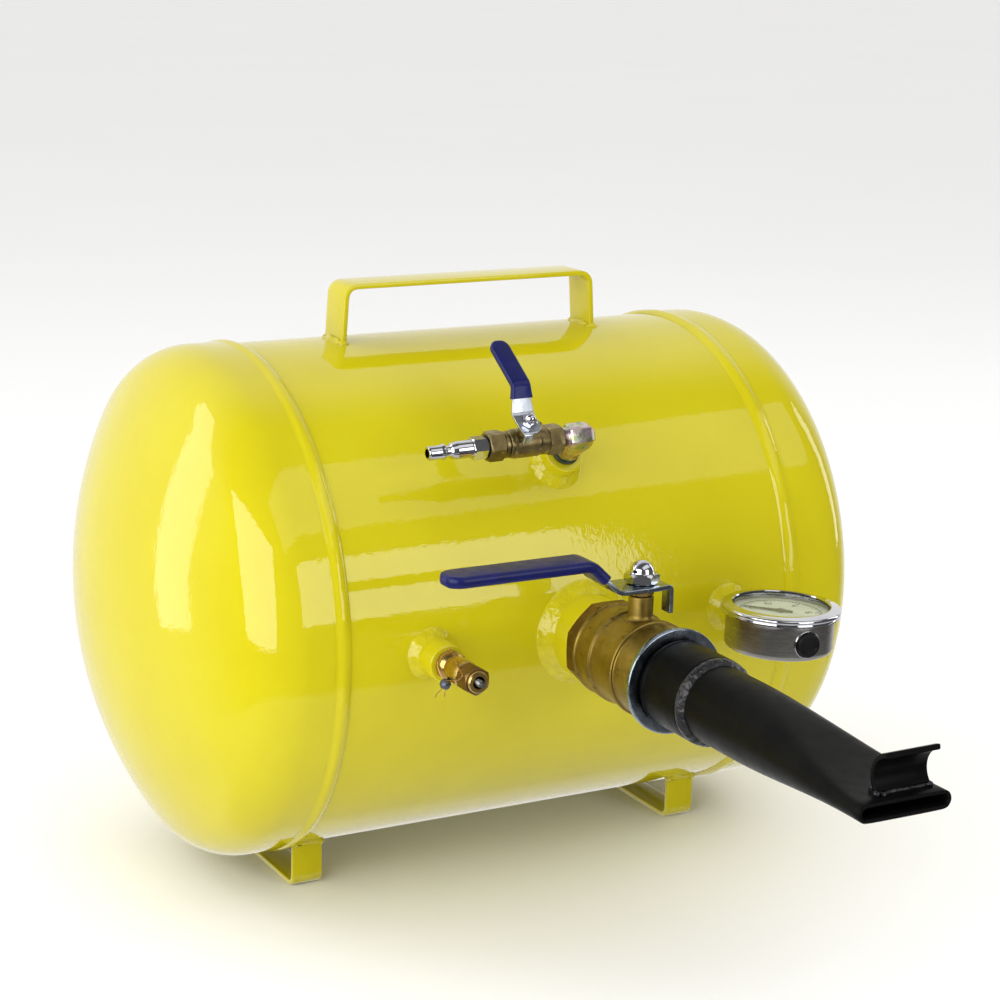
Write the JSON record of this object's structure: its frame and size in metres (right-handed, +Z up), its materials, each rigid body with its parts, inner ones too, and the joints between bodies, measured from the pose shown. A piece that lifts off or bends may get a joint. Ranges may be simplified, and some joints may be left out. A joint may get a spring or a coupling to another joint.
{
  "type": "bead seater blaster tank",
  "caption": "Horizontal air tank on strap feet with a carry handle, a lever valve feeding a flattened blast barrel with a rim hook, a small inlet valve, a gauge and a safety valve.",
  "frame": {"origin": "on the ground under the middle of the whole object's box", "axes": "+X along the tank towards the gauge, -Y along the barrel towards its mouth, +Z up"},
  "size_m": [0.4716, 0.6028, 0.3483],
  "materials": {
    "yellow_paint": "gloss",
    "bright_brass": "tumbled",
    "dark_brass": "tumbled",
    "stem_brass": "machined",
    "chrome_plate": "polished",
    "white_plastic": "matte",
    "zinc_plate": "zinc plated",
    "navy_vinyl": "gloss",
    "black_coat": "satin",
    "seal_rubber": "satin",
    "yellow_zinc": "iridescent zinc",
    "spring_steel": "satin",
    "copper_wire": "satin",
    "lead": "dull",
    "case_steel": "brushed",
    "clear_lens": "clear",
    "dial_white": "matte",
    "pointer_black": "matte",
    "black_rubber": "satin"
  },
  "bodies": {
    "tank": {"tank_shell": "yellow_paint", "tank_head_left": "yellow_paint", "tank_head_right": "yellow_paint", "seam_weld_left": "yellow_paint", "seam_weld_right": "yellow_paint", "foot_left": "yellow_paint", "foot_right": "yellow_paint", "carry_handle": "yellow_paint", "main_bung": "yellow_paint", "main_bung_weld": "yellow_paint", "safety_bung": "yellow_paint", "safety_bung_weld": "yellow_paint", "gauge_bung": "yellow_paint", "gauge_bung_weld": "yellow_paint", "inlet_bung": "yellow_paint", "inlet_bung_weld": "yellow_paint", "outlet_valve_body": "bright_brass", "outlet_valve_end_cap": "bright_brass", "outlet_valve_packing_nut": "stem_brass", "outlet_valve_seat_inner": "white_plastic", "outlet_valve_seat_outer": "white_plastic", "inlet_valve_body": "dark_brass", "inlet_valve_end_cap": "dark_brass", "inlet_valve_packing_nut": "stem_brass", "inlet_valve_seat_inner": "white_plastic", "inlet_valve_seat_outer": "white_plastic", "outlet_ring": "zinc_plate", "barrel_collar": "black_coat", "barrel": "black_coat", "barrel_weld": "black_coat", "rim_hook": "black_coat", "inlet_seal": "seal_rubber", "inlet_elbow": "yellow_zinc", "inlet_quick_plug": "chrome_plate", "safety_body": "bright_brass", "safety_cap": "dark_brass", "seal_wire": "copper_wire", "seal_lead": "lead", "gauge_case": "case_steel", "gauge_bezel": "chrome_plate", "gauge_lens": "clear_lens", "gauge_dial": "dial_white", "gauge_movement": "stem_brass", "gauge_stem": "stem_brass", "gauge_bourdon_tube": "stem_brass", "gauge_fill_plug": "black_rubber"},
    "outlet_lever": {"outlet_valve_ball": "chrome_plate", "outlet_valve_stem": "stem_brass", "outlet_valve_lever": "zinc_plate", "outlet_valve_grip": "navy_vinyl", "outlet_valve_lever_nut": "chrome_plate"},
    "inlet_lever": {"inlet_valve_ball": "chrome_plate", "inlet_valve_stem": "stem_brass", "inlet_valve_lever": "zinc_plate", "inlet_valve_grip": "navy_vinyl", "inlet_valve_lever_nut": "chrome_plate"},
    "gauge_needle": {"gauge_pointer": "pointer_black"},
    "safety_poppet": {"safety_poppet": "spring_steel", "safety_spring": "spring_steel"}
  },
  "joints": [
    {"name": "outlet_lever_turn", "type": "hinge", "parent": "tank", "child": "outlet_lever", "pos_m": [0.004, -0.06155, 0.2066], "axis": [0, 0, 1], "range_deg": [0, 90]},
    {"name": "inlet_lever_turn", "type": "hinge", "parent": "tank", "child": "inlet_lever", "pos_m": [-0.03789, 0.00265, 0.27768], "axis": [-0.0053, -0.5592, 0.829], "range_deg": [0, 90]},
    {"name": "gauge_needle_turn", "type": "hinge", "parent": "tank", "child": "gauge_needle", "pos_m": [0.1018, -0.05455, 0.1668], "axis": [-0.0349, 0, -0.9994], "range_deg": [0, 270], "stiffness_Nm_per_rad": 0.0001},
    {"name": "safety_poppet_lift", "type": "slide", "parent": "tank", "child": "safety_poppet", "axis": [0, -1, 0], "range_m": [0, 0.002], "stiffness_N_per_m": 2000, "springref_m": -0.004}
  ]
}
